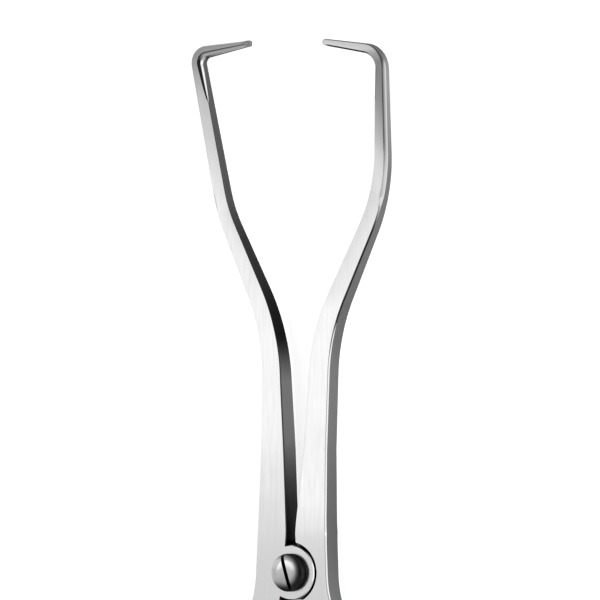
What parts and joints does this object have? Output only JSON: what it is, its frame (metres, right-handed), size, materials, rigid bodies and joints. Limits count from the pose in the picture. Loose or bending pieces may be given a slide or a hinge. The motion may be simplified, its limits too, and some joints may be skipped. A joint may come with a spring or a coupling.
{
  "type": "surgical caliper",
  "caption": "Steel surgical bone caliper with two non-crossing arms on one slotted pivot screw, short inward tips, and a graduated arc with a thumb lock screw across the lower shanks",
  "frame": {"origin": "on the pivot axis, in the plane that the caliper's back lies on", "axes": "+Y from the pivot towards the tips, +Z along the pivot screw towards its slotted head, +X towards the arm that the lock screw is on"},
  "size_m": [0.0742, 0.1945, 0.0108],
  "materials": {
    "satin_steel": "fine satin stainless steel with polished edges",
    "polished_steel": "polished stainless steel",
    "scale_steel": "matt stainless steel with engraved graduations"
  },
  "bodies": {
    "right_arm_body": {"right_arm": "satin_steel", "pivot_screw": "polished_steel"},
    "left_arm_body": {"left_arm": "satin_steel", "scale_arc": "scale_steel", "scale_rivet_1": "polished_steel", "scale_rivet_2": "polished_steel", "scale_stop_pin": "polished_steel"},
    "lock_screw_body": {"lock_screw": "polished_steel"}
  },
  "joints": [
    {"name": "jaw_hinge", "type": "hinge", "parent": "right_arm_body", "child": "left_arm_body", "pos_m": [0, 0, 0], "axis": [0, 0, 1], "range_deg": [-8.85, 40.2]},
    {"name": "lock_screw_turn", "type": "hinge", "parent": "right_arm_body", "child": "lock_screw_body", "pos_m": [0.02457, -0.05692, 0.007], "axis": [0, 0, 1], "range_deg": [-180, 180]}
  ]
}
